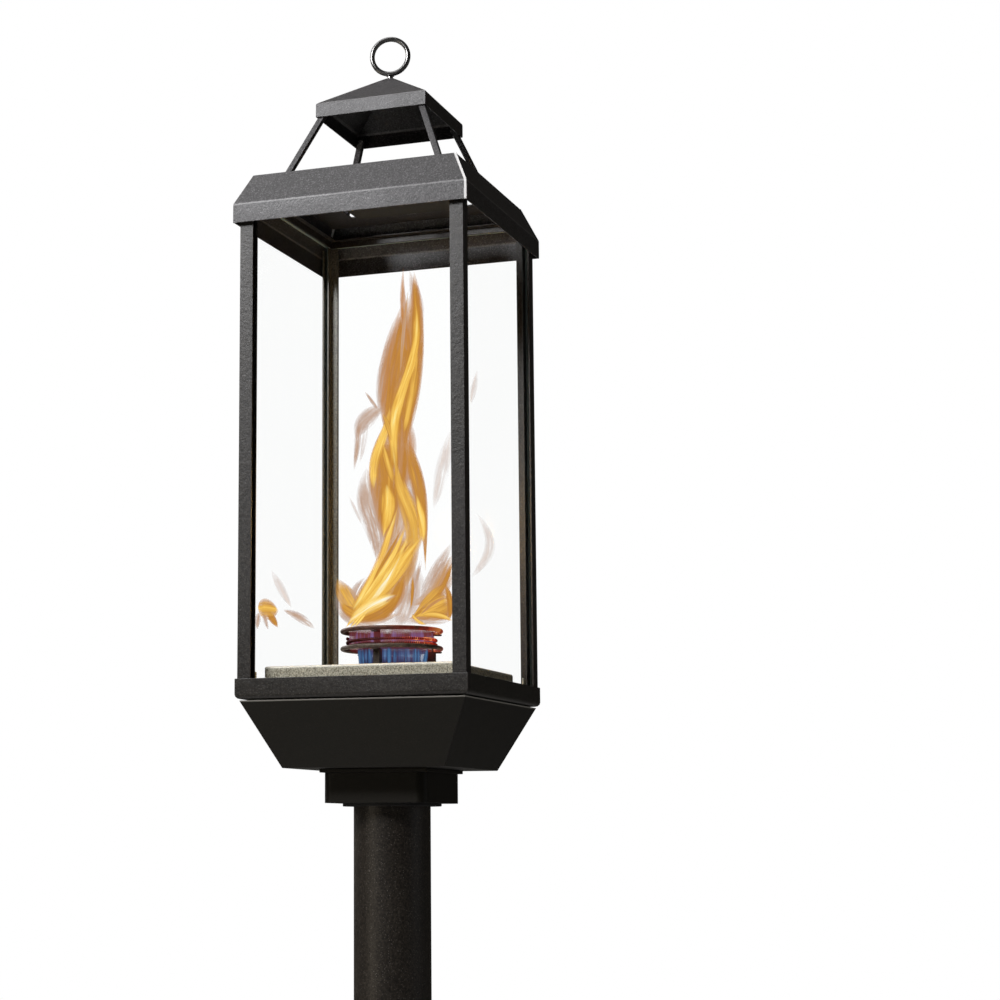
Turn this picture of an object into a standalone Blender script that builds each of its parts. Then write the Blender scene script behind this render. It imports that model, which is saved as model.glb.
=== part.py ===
"""Gas garden torch: a square glass lantern with a lift-off hood, on a round pole.

Metres, +Z up, front towards -Y. The origin is the middle of the pole's foot, at ground level.
Heights inside the lantern count from the underside of its collar, where the empty "lantern" stands.
"""

import math

import bmesh
import bpy
from mathutils import Matrix, Vector

GAP = 0.0003  # clearance between pieces that touch

# Pole and gas riser
POLE_LENGTH = 1.322
POLE_RADIUS = 0.0381
POLE_WALL = 0.003
POLE_INSERT = 0.057  # how far the pole reaches up into the lantern
RISER_RADIUS = 0.01067
RISER_WALL = 0.0028

# Lantern, half widths across its square plan and heights above the collar's underside
SHEET = 0.0015
COLLAR_HALF = 0.0536
COLLAR_WALL = 0.003
COLLAR_CORNER = 0.0100
COLLAR_TOP = 0.0292
SET_SCREW_RADIUS = 0.003
SET_SCREW_HEIGHT = 0.0235
SET_SCREW_APART = 0.030
BUSHING_RADIUS = 0.0490
BUSHING_DROP = 0.003
BUSHING_TOP = 0.018
FLANGE_HALF = 0.0556
FLANGE_TOP = 0.033
HOPPER_BOTTOM_HALF = 0.0834
HOPPER_BOTTOM = 0.0333
HOPPER_TOP_HALF = 0.1155
HOPPER_TOP = 0.0978
TRAY_HALF = 0.1189
TRAY_BOTTOM = 0.0990
TRAY_TOP = 0.1188
TRAY_BEND = 0.0045
PAN_HALF = 0.0965
PAN_TOP = 0.1315
PAN_HOLE = 0.016
PAN_BEND = 0.002
POST_HALF = 0.1170
POST_LEG = 0.0140
POST_WALL = 0.0020
POST_TOP = 0.5990
GLASS_THICK = 0.0040
GLASS_TOP = 0.6030
RETAINER_LEG = 0.0090
FRAME_BOTTOM = 0.6015
FRAME_TOP = 0.6100
EAVE_HALF = 0.1226
EAVE_BOTTOM = 0.5726
EAVE_FOLD = 0.5918
EAVE_BEND = 0.0060
SIDE_SET_IN = 0.0006  # the left and right roof panels tuck in behind the ends of the front and back ones
ROOF_TOP_HALF = 0.1074
ROOF_TOP = 0.6244
THROAT_HALF = 0.0700
BAFFLE_HALF = 0.0577
BAFFLE_BOTTOM = 0.6166
CAP_HALF = 0.0594
CAP_BOTTOM = 0.6938
CAP_FOLD = 0.7082
CAP_APEX = 0.7485
CAP_BEND = 0.0030
STRUT_SIDE = 0.0065
STRUT_TOP_OFFSET = 0.0516
STRUT_FOOT_OFFSET = 0.0829
STRUT_TOP = 0.7005
RING_RADIUS = 0.0188
RING_WIRE = 0.0026
RING_HEIGHT = 0.7703
RING_TURN = math.radians(12)

# Burner and gas train
VALVE_HEIGHT = 0.066
VALVE_RADIUS = 0.015
BOSS_RADIUS = 0.008
BOSS_END = 0.0265
STEM_RADIUS = 0.004
STEM_HOLE_RADIUS = 0.006
KNOB_RADIUS = 0.0135
KNOB_START = 0.1076
KNOB_END = 0.1186
UNION_RADIUS = 0.0155
UNION_BOTTOM = 0.0303
BURNER_RING_RADIUS = 0.0493
BURNER_RING_WIRE = 0.0022
LOWER_RING_HEIGHT = 0.1530
UPPER_RING_HEIGHT = 0.1705
COIL_RADIUS = 0.0443
COIL_WIRE = 0.0018
COIL_BOTTOM = 0.1545
COIL_TOP = 0.1635
COIL_TURNS = 2
LEG_RADIUS = 0.0420  # of the thin strip between the two rings
LEG_REACH = 0.0505
LEG_BAR_INNER = 0.0360
LEG_BAR_OUTER = 0.0445
LEG_WIDTH = 0.0065
LEG_SHEET = 0.0012
TUBE_RADIUS = 0.0125
TUBE_WALL = 0.0015
TUBE_BOTTOM = 0.0960
SHUTTER_RADIUS = 0.0145
SHUTTER_BOTTOM = 0.0975
SHUTTER_TOP = 0.1075

SIDES = ("front", "right", "back", "left")
CORNERS = ("front_left", "front_right", "back_right", "back_left")
GLASS_OUTER = POST_HALF - POST_WALL - 0.0004
GLASS_INNER = GLASS_OUTER - GLASS_THICK
SLOPE_RUN = (EAVE_HALF - ROOF_TOP_HALF) / (ROOF_TOP - EAVE_FOLD)
ROOF_ACROSS = SHEET * math.hypot(1, SLOPE_RUN)  # the roof slope's thickness, measured level


def clear_scene():
    for obj in list(bpy.data.objects):
        bpy.data.objects.remove(obj, do_unlink=True)


clear_scene()
parts = bpy.data.collections.new("gas_torch")
cutters = bpy.data.collections.new("cutters")
bpy.context.scene.collection.children.link(parts)
bpy.context.scene.collection.children.link(cutters)

lantern = bpy.data.objects.new("lantern", None)
lantern.location = (0, 0, POLE_LENGTH - POLE_INSERT)
parts.objects.link(lantern)


def material(name, colour, roughness, metallic, alpha=1.0):
    made = bpy.data.materials.new(name)
    made.use_nodes = True
    shader = made.node_tree.nodes["Principled BSDF"]
    shader.inputs["Base Color"].default_value = (*colour, 1)
    shader.inputs["Roughness"].default_value = roughness
    shader.inputs["Metallic"].default_value = metallic
    shader.inputs["Alpha"].default_value = alpha
    return made


BLACK_COAT = material("black_powder_coat", (0.035, 0.032, 0.030), 0.45, 0.3)
POLE_COAT = material("pole_coat", (0.028, 0.027, 0.028), 0.40, 0.2)
PAN_STEEL = material("pan_steel", (0.50, 0.48, 0.42), 0.55, 0.6)
GLASS = material("clear_glass", (0.95, 0.97, 0.96), 0.02, 0.0, 0.15)
BURNER_STEEL = material("heated_steel", (0.13, 0.08, 0.06), 0.5, 0.8)
ZINC = material("zinc_plate", (0.55, 0.55, 0.53), 0.35, 0.9)
BRASS = material("brass", (0.72, 0.53, 0.25), 0.35, 0.9)
PIPE_STEEL = material("pipe_steel", (0.12, 0.12, 0.12), 0.5, 0.7)
RUBBER = material("rubber", (0.02, 0.02, 0.02), 0.8, 0.0)
KNOB_PLASTIC = material("knob_plastic", (0.02, 0.02, 0.02), 0.5, 0.0)


def place(obj, finish, parent=lantern):
    """Gives an object its finish, its collection and its parent."""
    obj.data.materials.append(finish)
    parts.objects.link(obj)
    obj.parent = parent
    return obj


def shade_round(mesh):
    mesh.shade_smooth()
    mesh.set_sharp_from_angle(angle=math.radians(35))


def turned(name, profile, finish, steps=40, axis_shift=(0, 0, 0), parent=lantern):
    """A turned piece. The profile's (radius, height) points run down its outer side and up its inner one."""
    mesh = bpy.data.meshes.new(name)
    closed = min(radius for radius, _ in profile) > 0
    count = len(profile)
    edges = [(i, (i + 1) % count) for i in range(count if closed else count - 1)]
    mesh.from_pydata([(radius, 0, height) for radius, height in profile], edges, [])
    obj = bpy.data.objects.new(name, mesh)
    obj.location = axis_shift
    screw = obj.modifiers.new("turn", "SCREW")
    screw.steps = screw.render_steps = steps
    screw.use_merge_vertices = True
    screw.merge_threshold = 1e-5
    screw.use_smooth_shade = steps > 4
    return place(obj, finish, parent)


def squared(name, profile, finish, parent=lantern):
    """A piece with a square plan. The profile's points are (half width, height), as in turned()."""
    across_corners = [(half * math.sqrt(2), height) for half, height in profile]
    obj = turned(name, across_corners, finish, steps=4, parent=parent)
    obj.rotation_euler.z = math.radians(45)
    return obj


def arc(centre, radius, start, end, points=4):
    """Points of an arc in (across, up), angles in degrees from +across towards +up."""
    angles = [math.radians(start + (end - start) * i / (points - 1)) for i in range(points)]
    return [(centre[0] + radius * math.cos(a), centre[1] + radius * math.sin(a)) for a in angles]


def outline(name, loops, thickness, finish, parent=lantern):
    """A flat plate around z = 0 from closed loops of (x, y); the second loop on are holes."""
    curve = bpy.data.curves.new(name, "CURVE")
    curve.dimensions = "2D"
    curve.fill_mode = "BOTH"
    curve.extrude = thickness / 2
    for loop in loops:
        spline = curve.splines.new("POLY")
        spline.points.add(len(loop) - 1)
        for point, (x, y) in zip(spline.points, loop):
            point.co = (x, y, 0, 1)
        spline.use_cyclic_u = True
    return place(bpy.data.objects.new(name, curve), finish, parent)


def as_mesh(obj):
    """Turns a curve object into a welded mesh object of the same name and place."""
    graph = bpy.context.evaluated_depsgraph_get()
    mesh = bpy.data.meshes.new_from_object(obj.evaluated_get(graph))
    work = bmesh.new()
    work.from_mesh(mesh)
    bmesh.ops.remove_doubles(work, verts=work.verts, dist=1e-6)
    work.to_mesh(mesh)
    work.free()
    name, matrix, parent = obj.name, obj.matrix_basis.copy(), obj.parent
    bpy.data.objects.remove(obj)
    made = bpy.data.objects.new(name, mesh)
    made.name = name
    parts.objects.link(made)
    made.parent = parent
    made.matrix_basis = matrix
    return made


def block(name, low, high, finish, bevel=0.0, parent=lantern):
    """A box between two corners, with its edges rounded off by the bevel width."""
    work = bmesh.new()
    bmesh.ops.create_cube(work, size=1)
    low, high = Vector(low), Vector(high)
    bmesh.ops.scale(work, vec=high - low, verts=work.verts)
    bmesh.ops.translate(work, vec=(high + low) / 2, verts=work.verts)
    mesh = bpy.data.meshes.new(name)
    work.to_mesh(mesh)
    work.free()
    obj = place(bpy.data.objects.new(name, mesh), finish, parent)
    if bevel:
        rounding = obj.modifiers.new("edges", "BEVEL")
        rounding.width = bevel
        rounding.segments = 1
    return obj


def rod(name, radius, start, end, finish, segments=16, parent=lantern):
    """A plain cylinder from start to end."""
    work = bmesh.new()
    start, end = Vector(start), Vector(end)
    along = end - start
    size = {"radius1": radius, "radius2": radius, "depth": along.length}
    bmesh.ops.create_cone(work, cap_ends=True, segments=segments, **size)
    turn = along.to_track_quat("Z", "Y").to_matrix().to_4x4()
    bmesh.ops.transform(work, matrix=Matrix.Translation((start + end) / 2) @ turn, verts=work.verts)
    mesh = bpy.data.meshes.new(name)
    work.to_mesh(mesh)
    work.free()
    if segments > 6:
        shade_round(mesh)
    return place(bpy.data.objects.new(name, mesh), finish, parent)


def torus(name, radius, wire, finish, segments=36, sides=8):
    """A ring of round wire about Z, centred on its own origin."""
    section = [(radius + x, z) for x, z in arc((0, 0), wire, 0, -360, sides + 1)[:-1]]
    return turned(name, section, finish, steps=segments)


def as_cutter(obj):
    """Takes an object out of the parts and keeps it as a Boolean cutter."""
    parts.objects.unlink(obj)
    cutters.objects.link(obj)
    obj.hide_render = True
    obj.display_type = "WIRE"
    return obj


def combine(obj, other, operation):
    step = obj.modifiers.new(operation.lower(), "BOOLEAN")
    step.operation = operation
    step.solver = "EXACT"
    step.object = as_cutter(other)


def quarter_turn(obj, step):
    """Turns an object about the lantern's axis by a number of quarter turns."""
    obj.matrix_basis = Matrix.Rotation(math.radians(90 * step), 4, "Z") @ obj.matrix_basis
    return obj


def rounded_square(half, radius):
    loop = []
    for step in range(4):
        turn = Matrix.Rotation(math.radians(90 * step), 2)
        for point in arc((half - radius, half - radius), radius, 0, 90, 5):
            loop.append(tuple(turn @ Vector(point)))
    return loop


def make_pole():
    inside = POLE_RADIUS - POLE_WALL
    wall = [(POLE_RADIUS, POLE_LENGTH), (POLE_RADIUS, 0), (inside, 0), (inside, POLE_LENGTH)]
    turned("pole", wall, POLE_COAT, steps=48, parent=None)

    riser_top = POLE_LENGTH - POLE_INSERT + 0.030
    bore = RISER_RADIUS - RISER_WALL
    pipe = [(RISER_RADIUS, riser_top), (RISER_RADIUS, 0), (bore, 0), (bore, riser_top)]
    turned("gas_riser_pipe", pipe, PIPE_STEEL, steps=16, parent=None)

    inner = POLE_RADIUS + GAP
    bushing = [
        (BUSHING_RADIUS, BUSHING_TOP),
        (BUSHING_RADIUS, -BUSHING_DROP),
        (inner, -BUSHING_DROP),
        (inner, BUSHING_TOP),
    ]
    turned("pole_bushing", bushing, RUBBER)


def make_collar():
    loops = [
        rounded_square(COLLAR_HALF, COLLAR_CORNER),
        rounded_square(COLLAR_HALF - COLLAR_WALL, COLLAR_CORNER - COLLAR_WALL),
    ]
    collar = outline("collar", loops, COLLAR_TOP, BLACK_COAT)
    collar.location.z = COLLAR_TOP / 2
    collar = as_mesh(collar)

    clear, stands_out = 0.006, 0.003
    for side, x in (("left", -SET_SCREW_APART / 2), ("right", SET_SCREW_APART / 2)):
        name = "collar_set_screw_" + side
        hole_start = (x, COLLAR_HALF - COLLAR_WALL - clear, SET_SCREW_HEIGHT)
        hole_end = (x, COLLAR_HALF + clear, SET_SCREW_HEIGHT)
        hole = rod("hole_" + name, SET_SCREW_RADIUS + GAP, hole_start, hole_end, ZINC)
        combine(collar, hole, "DIFFERENCE")
        point = math.sqrt(POLE_RADIUS**2 - (abs(x) - SET_SCREW_RADIUS) ** 2) + GAP
        tip = (x, point, SET_SCREW_HEIGHT)
        head = (x, COLLAR_HALF + stands_out, SET_SCREW_HEIGHT)
        rod(name, SET_SCREW_RADIUS, tip, head, ZINC, 12)

    opening = POLE_RADIUS + 0.0014
    flange = [
        (FLANGE_HALF, FLANGE_TOP),
        (FLANGE_HALF, COLLAR_TOP + GAP),
        (opening, COLLAR_TOP + GAP),
        (opening, FLANGE_TOP),
    ]
    squared("collar_flange", flange, BLACK_COAT)


def make_hopper():
    lean = (HOPPER_TOP_HALF - HOPPER_BOTTOM_HALF) / (HOPPER_TOP - HOPPER_BOTTOM)
    across = SHEET * math.hypot(1, lean)  # the wall's thickness, measured level
    floor, rim = HOPPER_BOTTOM + SHEET, HOPPER_TOP - SHEET
    opening, rim_half = POLE_RADIUS + 0.0019, 0.098
    profile = [
        (HOPPER_TOP_HALF, HOPPER_TOP),
        (HOPPER_BOTTOM_HALF, HOPPER_BOTTOM),
        (opening, HOPPER_BOTTOM),
        (opening, floor),
        (HOPPER_BOTTOM_HALF + SHEET * lean - across, floor),
        (HOPPER_TOP_HALF - SHEET * lean - across, rim),
        (rim_half, rim),
        (rim_half, HOPPER_TOP),
    ]
    hopper = squared("hopper_shell", profile, BLACK_COAT)
    hole_start = (0, HOPPER_BOTTOM_HALF, VALVE_HEIGHT)
    hole_end = (0, HOPPER_TOP_HALF, VALVE_HEIGHT)
    combine(hopper, rod("stem_hole", STEM_HOLE_RADIUS, hole_start, hole_end, BRASS), "DIFFERENCE")


def make_tray_and_pan():
    centre = (TRAY_HALF - TRAY_BEND, TRAY_BOTTOM + TRAY_BEND)
    opening, floor = 0.062, TRAY_BOTTOM + SHEET
    tray = [(TRAY_HALF, TRAY_TOP), *arc(centre, TRAY_BEND, 0, -90), (opening, TRAY_BOTTOM), (opening, floor)]
    tray += [*arc(centre, TRAY_BEND - SHEET, -90, 0), (TRAY_HALF - SHEET, TRAY_TOP)]
    squared("base_tray", tray, BLACK_COAT)

    foot = floor + GAP
    centre = (PAN_HALF - PAN_BEND, PAN_TOP - PAN_BEND)
    pan = [(PAN_HOLE, PAN_TOP), *arc(centre, PAN_BEND, 90, 0)]
    pan += [(PAN_HALF, foot), (PAN_HALF - SHEET, foot)]
    pan += [(PAN_HALF - SHEET, PAN_TOP - SHEET), (PAN_HOLE, PAN_TOP - SHEET)]
    squared("burner_pan", pan, PAN_STEEL)
    return foot


def angle_loop(corner, leg, wall):
    """An angle section with its heel at (corner, corner) and its legs running back towards the middle."""
    return [
        (corner, corner),
        (corner - leg, corner),
        (corner - leg, corner - wall),
        (corner - wall, corner - wall),
        (corner - wall, corner - leg),
        (corner, corner - leg),
    ]


def make_posts_and_glass(foot):
    retainer_heel = GLASS_INNER - GAP
    above_bend = TRAY_BOTTOM + TRAY_BEND + GAP
    for step, corner in enumerate(CORNERS):
        for name, heel, leg, wall, bottom, top in (
            ("post_", POST_HALF, POST_LEG, POST_WALL, above_bend, POST_TOP),
            ("glass_retainer_", retainer_heel, RETAINER_LEG, SHEET, foot, FRAME_BOTTOM - GAP),
        ):
            loop = angle_loop(heel, leg, wall)
            piece = outline(name + corner, [loop], top - bottom, BLACK_COAT)
            piece.location.z = (top + bottom) / 2
            quarter_turn(piece, step + 2)

    pane_half, ground_edge = GLASS_INNER - 2 * GAP, 0.0005
    clip_start, clip_end, clip_top = 0.088, 0.096, 0.127
    for step, side in enumerate(SIDES):
        low = (-pane_half, -GLASS_OUTER, foot)
        high = (pane_half, -GLASS_INNER, GLASS_TOP)
        quarter_turn(block("glass_pane_" + side, low, high, GLASS, bevel=ground_edge), step)
        low = (clip_start, GAP - GLASS_INNER, foot)
        high = (clip_end, GAP - GLASS_INNER + SHEET, clip_top)
        quarter_turn(block("glass_clip_" + side, low, high, ZINC), step)

    flange, seat = FRAME_TOP - SHEET, retainer_heel - SHEET - GAP
    rim_half = EAVE_HALF - SLOPE_RUN * (FRAME_TOP - EAVE_FOLD) - ROOF_ACROSS - SIDE_SET_IN - GAP
    opening = 0.101
    profile = [
        (rim_half, FRAME_TOP),
        (rim_half, flange),
        (seat, flange),
        (seat, FRAME_BOTTOM),
        (seat - SHEET, FRAME_BOTTOM),
        (seat - SHEET, flange),
        (opening, flange),
        (opening, FRAME_TOP),
    ]
    squared("top_frame", profile, BLACK_COAT)


def folded_panel(name, rows, finish):
    """A sheet panel facing -Y. Each row is (half length, half width out, height), from the lip up."""
    work = bmesh.new()
    lines = [[work.verts.new((side * long, -out, height)) for side in (-1, 1)] for long, out, height in rows]
    for lower, upper in zip(lines, lines[1:]):
        work.faces.new((lower[0], lower[1], upper[1], upper[0]))
    bmesh.ops.recalc_face_normals(work, faces=work.faces)
    mesh = bpy.data.meshes.new(name)
    work.to_mesh(mesh)
    work.free()
    outwards = sum((face.normal for face in mesh.polygons), Vector())
    if outwards.y > 0:
        mesh.flip_normals()
    obj = place(bpy.data.objects.new(name, mesh), finish)
    wall = obj.modifiers.new("sheet", "SOLIDIFY")
    wall.thickness = SHEET
    wall.offset = -1
    wall.use_even_offset = True
    return obj


def make_roof():
    lean = math.degrees(math.atan(SLOPE_RUN))
    setback = EAVE_BEND * math.tan(math.radians(lean / 2))
    centre = (EAVE_HALF - EAVE_BEND, EAVE_FOLD - setback)
    bend = arc(centre, EAVE_BEND, 0, lean, 4)
    faces = [(EAVE_HALF, EAVE_BOTTOM), *bend, (ROOF_TOP_HALF, ROOF_TOP)]
    for step, side in enumerate(SIDES):
        tucked = side in ("left", "right")
        inset, set_in = (ROOF_ACROSS + 2 * GAP, SIDE_SET_IN) if tucked else (0, 0)
        rows = [(out - inset, out - set_in, height) for out, height in faces]
        quarter_turn(folded_panel("roof_panel_" + side, rows, BLACK_COAT), step)

    deck_top = ROOF_TOP - 0.0004
    deck_half = ROOF_TOP_HALF - ROOF_ACROSS - SIDE_SET_IN
    deck = [
        (deck_half, deck_top),
        (deck_half, deck_top - SHEET),
        (THROAT_HALF, deck_top - SHEET),
        (THROAT_HALF, deck_top),
    ]
    squared("roof_deck", deck, BLACK_COAT)
    baffle_top = BAFFLE_BOTTOM + SHEET
    low, high = (-BAFFLE_HALF, -BAFFLE_HALF, BAFFLE_BOTTOM), (BAFFLE_HALF, BAFFLE_HALF, baffle_top)
    block("baffle_plate", low, high, BLACK_COAT)

    foot, head, wall = baffle_top + GAP, deck_top + GAP, 0.0012
    riser, inner, outer, width = 0.0640, 0.0480, 0.0780, 0.010
    zigzag = [
        (inner, foot),
        (riser, foot),
        (riser, head),
        (outer, head),
        (outer, head + wall),
        (riser - wall, head + wall),
        (riser - wall, foot + wall),
        (inner, foot + wall),
    ]
    for step, side in enumerate(SIDES):
        bracket = outline("baffle_bracket_" + side, [zigzag], width, ZINC)
        bracket.rotation_euler.x = math.radians(90)
        quarter_turn(bracket, step - 1)
    return deck_top


def make_cap(deck_top):
    half = STRUT_SIDE / 2
    for step, corner in enumerate(CORNERS):
        strut = block("cap_strut_" + corner, (-half, -half, 0), (half, half, 1), BLACK_COAT)
        foot, rise = deck_top + GAP, STRUT_TOP - deck_top - GAP
        lean = (STRUT_TOP_OFFSET - STRUT_FOOT_OFFSET) / rise
        for vertex in strut.data.vertices:
            up = vertex.co.z * rise
            vertex.co.x += -STRUT_FOOT_OFFSET - lean * up
            vertex.co.y += -STRUT_FOOT_OFFSET - lean * up
            vertex.co.z = foot + up
        quarter_turn(strut, step)

    pitch = math.atan((CAP_APEX - CAP_FOLD) / CAP_HALF)
    drop = SHEET / math.cos(pitch)  # the slope's thickness, measured upright
    hole = 0.0034

    def slope(across):
        return CAP_APEX - across * math.tan(pitch)

    setback = CAP_BEND * math.tan((math.pi / 2 - pitch) / 2)
    centre = (CAP_HALF - CAP_BEND, CAP_FOLD - setback)
    bend = arc(centre, CAP_BEND, math.degrees(math.pi / 2 - pitch), 0, 3)
    inside = CAP_HALF - SHEET
    profile = [(hole, slope(hole)), *bend, (CAP_HALF, CAP_BOTTOM), (inside, CAP_BOTTOM)]
    profile += [(inside, slope(inside) - drop), (hole, slope(hole) - drop)]
    squared("cap", profile, BLACK_COAT)

    ring = torus("top_ring", RING_RADIUS, RING_WIRE, BLACK_COAT)
    ring.rotation_euler = (math.radians(90), 0, RING_TURN)
    ring.location.z = RING_HEIGHT
    stud_foot = CAP_APEX - 0.0160
    stud = rod("ring_stud", 0.003, (0, 0, stud_foot), (0, 0, RING_HEIGHT - RING_RADIUS), BLACK_COAT, 12)
    combine(ring, stud, "UNION")

    nut_bottom, nut_top, nut_radius, bore = CAP_APEX - 0.0135, CAP_APEX - 0.0088, 0.0065, 0.0038
    nut = [(nut_radius, nut_top), (nut_radius, nut_bottom), (bore, nut_bottom), (bore, nut_top)]
    turned("ring_nut", nut, ZINC, steps=6)


def make_burner():
    base = PAN_TOP + GAP
    wall = 0.0012
    head_radius, rim, throat = 0.030, base + 0.010, 0.0110
    head = [
        (head_radius - 0.0015, rim),
        (head_radius, base),
        (throat, base),
        (throat, base + wall),
        (head_radius - wall, base + wall),
        (head_radius - 0.0015 - wall, rim),
    ]
    turned("burner_head", head, BURNER_STEEL, steps=32)
    plate = rim + GAP
    plate_radius, crown = 0.0265, 0.004
    diffuser = [(0, plate + crown), (0.012, plate + crown - 0.0005)]
    diffuser += [(plate_radius, plate + wall), (plate_radius, plate), (0, plate)]
    turned("burner_diffuser", diffuser, BURNER_STEEL, steps=32)

    for level, height in (("lower", LOWER_RING_HEIGHT), ("upper", UPPER_RING_HEIGHT)):
        ring = torus("burner_ring_" + level, BURNER_RING_RADIUS, BURNER_RING_WIRE, BURNER_STEEL, 40)
        ring.location.z = height

    curve = bpy.data.curves.new("burner_coil", "CURVE")
    curve.dimensions = "3D"
    curve.bevel_depth = COIL_WIRE
    curve.bevel_resolution = 1
    curve.use_fill_caps = True
    spline = curve.splines.new("POLY")
    count = 28 * COIL_TURNS
    spline.points.add(count)
    for i, point in enumerate(spline.points):
        angle = 2 * math.pi * COIL_TURNS * i / count + math.radians(200)
        height = COIL_BOTTOM + (COIL_TOP - COIL_BOTTOM) * i / count
        point.co = (COIL_RADIUS * math.cos(angle), COIL_RADIUS * math.sin(angle), height, 1)
    place(bpy.data.objects.new("burner_coil", curve), BURNER_STEEL)

    lower = LOWER_RING_HEIGHT - BURNER_RING_WIRE - GAP
    upper = UPPER_RING_HEIGHT - BURNER_RING_WIRE - GAP
    strip_inner, strip_top = LEG_RADIUS - LEG_SHEET, upper + 0.003
    leg_outline = [(LEG_BAR_INNER, base), (LEG_BAR_OUTER, base), (LEG_BAR_OUTER, lower - LEG_SHEET)]
    leg_outline += [(LEG_REACH, lower - LEG_SHEET), (LEG_REACH, lower), (LEG_RADIUS, lower)]
    leg_outline += [(LEG_RADIUS, upper - LEG_SHEET), (LEG_REACH, upper - LEG_SHEET)]
    leg_outline += [(LEG_REACH, upper), (LEG_RADIUS, upper), (LEG_RADIUS, strip_top)]
    leg_outline += [(strip_inner, strip_top), (strip_inner, lower), (LEG_BAR_INNER, lower)]
    upright = Matrix.Rotation(math.radians(90), 4, "X")
    for name, azimuth in (("front", -90), ("right", 30), ("left", 150)):
        leg = outline("burner_leg_" + name, [leg_outline], LEG_WIDTH, BURNER_STEEL)
        leg.matrix_basis = Matrix.Rotation(math.radians(azimuth), 4, "Z") @ upright


def make_gas_train():
    bore = TUBE_RADIUS - TUBE_WALL
    tube = [(TUBE_RADIUS, PAN_TOP), (TUBE_RADIUS, TUBE_BOTTOM), (bore, TUBE_BOTTOM), (bore, PAN_TOP)]
    mixing_tube = turned("mixing_tube", tube, ZINC, steps=24)
    sleeve_bore = TUBE_RADIUS + GAP
    sleeve = [
        (SHUTTER_RADIUS, SHUTTER_TOP),
        (SHUTTER_RADIUS, SHUTTER_BOTTOM),
        (sleeve_bore, SHUTTER_BOTTOM),
        (sleeve_bore, SHUTTER_TOP),
    ]
    shutter = turned("air_shutter", sleeve, BRASS, steps=24)
    window_low, window_high = SHUTTER_BOTTOM + 0.0017, SHUTTER_TOP - 0.0017
    window_half, through = 0.006, 2 * SHUTTER_RADIUS
    for piece in (mixing_tube, shutter):
        low, high = (-through, -window_half, window_low), (through, window_half, window_high)
        combine(piece, block("window_" + piece.name, low, high, BRASS), "DIFFERENCE")

    base, top = VALVE_HEIGHT - 0.020, VALVE_HEIGHT + 0.018
    valve = rod("gas_valve_body", VALVE_RADIUS, (0, 0, base), (0, 0, top), BRASS, 20)
    boss_start, boss_end = (0, VALVE_RADIUS - 0.005, VALVE_HEIGHT), (0, BOSS_END, VALVE_HEIGHT)
    combine(valve, rod("valve_boss", BOSS_RADIUS, boss_start, boss_end, BRASS), "UNION")
    jet, tip = top + GAP, TUBE_BOTTOM - GAP
    nose, shoulder, hexagon, shoulder_height = 0.003, 0.008, 0.010, jet + 0.006
    orifice = [(0, tip), (nose, tip), (shoulder, shoulder_height)]
    orifice += [(hexagon, shoulder_height), (hexagon, jet), (0, jet)]
    turned("orifice_fitting", orifice, BRASS, steps=6)
    union_top, union_bore = base - GAP, 0.008
    union = [(UNION_RADIUS, union_top), (UNION_RADIUS, UNION_BOTTOM)]
    union += [(union_bore, UNION_BOTTOM), (union_bore, union_top)]
    turned("pipe_union", union, BRASS, steps=6)

    axis = bpy.data.objects.new("knob_axis", None)
    axis.location.z = VALVE_HEIGHT
    axis.parent = lantern
    parts.objects.link(axis)
    stem_start, stem_end = (0, BOSS_END + GAP, 0), (0, KNOB_START - GAP, 0)
    rod("valve_stem", STEM_RADIUS, stem_start, stem_end, BRASS, 12, parent=axis)
    grip_half, grip_long, grip_tall, grip_root = 0.0028, 0.012, 0.006, 0.002
    disc_end = KNOB_END - grip_tall
    knob = rod("gas_knob", KNOB_RADIUS, (0, KNOB_START, 0), (0, disc_end, 0), KNOB_PLASTIC, 24, parent=axis)
    low = (-grip_half, disc_end - grip_root, -grip_long)
    high = (grip_half, KNOB_END, grip_long)
    combine(knob, block("knob_grip", low, high, KNOB_PLASTIC, parent=axis), "UNION")


make_pole()
make_collar()
make_hopper()
make_posts_and_glass(make_tray_and_pan())
make_cap(make_roof())
make_burner()
make_gas_train()
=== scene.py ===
"""A gas torch lantern on a round pole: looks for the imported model, built around its frame."""

import math
import random

import bmesh
import bpy
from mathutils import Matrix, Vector


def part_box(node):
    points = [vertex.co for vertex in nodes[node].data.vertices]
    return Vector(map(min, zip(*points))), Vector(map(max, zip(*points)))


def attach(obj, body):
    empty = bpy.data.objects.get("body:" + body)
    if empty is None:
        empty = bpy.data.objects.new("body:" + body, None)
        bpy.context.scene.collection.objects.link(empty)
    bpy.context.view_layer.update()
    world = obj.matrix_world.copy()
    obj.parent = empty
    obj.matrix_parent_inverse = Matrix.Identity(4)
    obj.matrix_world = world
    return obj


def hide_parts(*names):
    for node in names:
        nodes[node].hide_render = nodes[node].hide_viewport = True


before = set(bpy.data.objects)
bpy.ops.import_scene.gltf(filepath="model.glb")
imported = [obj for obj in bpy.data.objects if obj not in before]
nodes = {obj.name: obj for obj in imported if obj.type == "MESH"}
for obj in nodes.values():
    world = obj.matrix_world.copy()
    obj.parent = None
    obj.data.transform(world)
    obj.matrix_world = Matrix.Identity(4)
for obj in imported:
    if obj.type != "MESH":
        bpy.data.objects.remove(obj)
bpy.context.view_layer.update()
scene = bpy.context.scene
collection = scene.collection

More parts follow.
